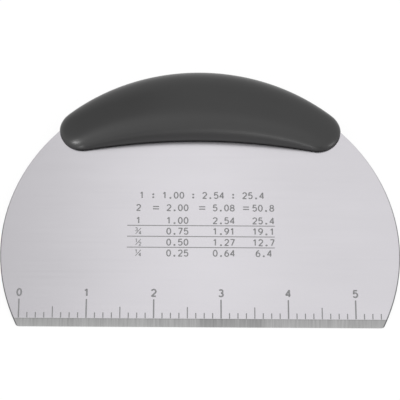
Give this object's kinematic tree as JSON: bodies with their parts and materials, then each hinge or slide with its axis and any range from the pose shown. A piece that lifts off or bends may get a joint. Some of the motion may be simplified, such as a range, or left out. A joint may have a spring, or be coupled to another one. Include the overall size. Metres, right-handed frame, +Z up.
{
  "type": "dough scraper",
  "caption": "Dough scraper: a thin steel disc cut straight along a ground scraping edge, with a soft crescent handle moulded over its curved rim.",
  "frame": {"origin": "centre of the footprint, on the table the scraper lies on, front face up", "axes": "+X along the scraping edge, +Y from the scraping edge to the handle, +Z up; the blade is tipped up by 6.3 degrees, on its edge and the back of its grip"},
  "size_m": [0.1524, 0.1108, 0.0211],
  "materials": {
    "blade_steel": "fine satin brushed sheet, bright ground edge, dark etched marks on the front",
    "core_plastic": "rigid moulded plastic, hidden inside the grip",
    "grip_rubber": "soft-touch moulded skin, matte dark grey"
  },
  "bodies": {
    "root": {"blade": "blade_steel", "handle_core": "core_plastic", "grip": "grip_rubber"}
  },
  "joints": []
}
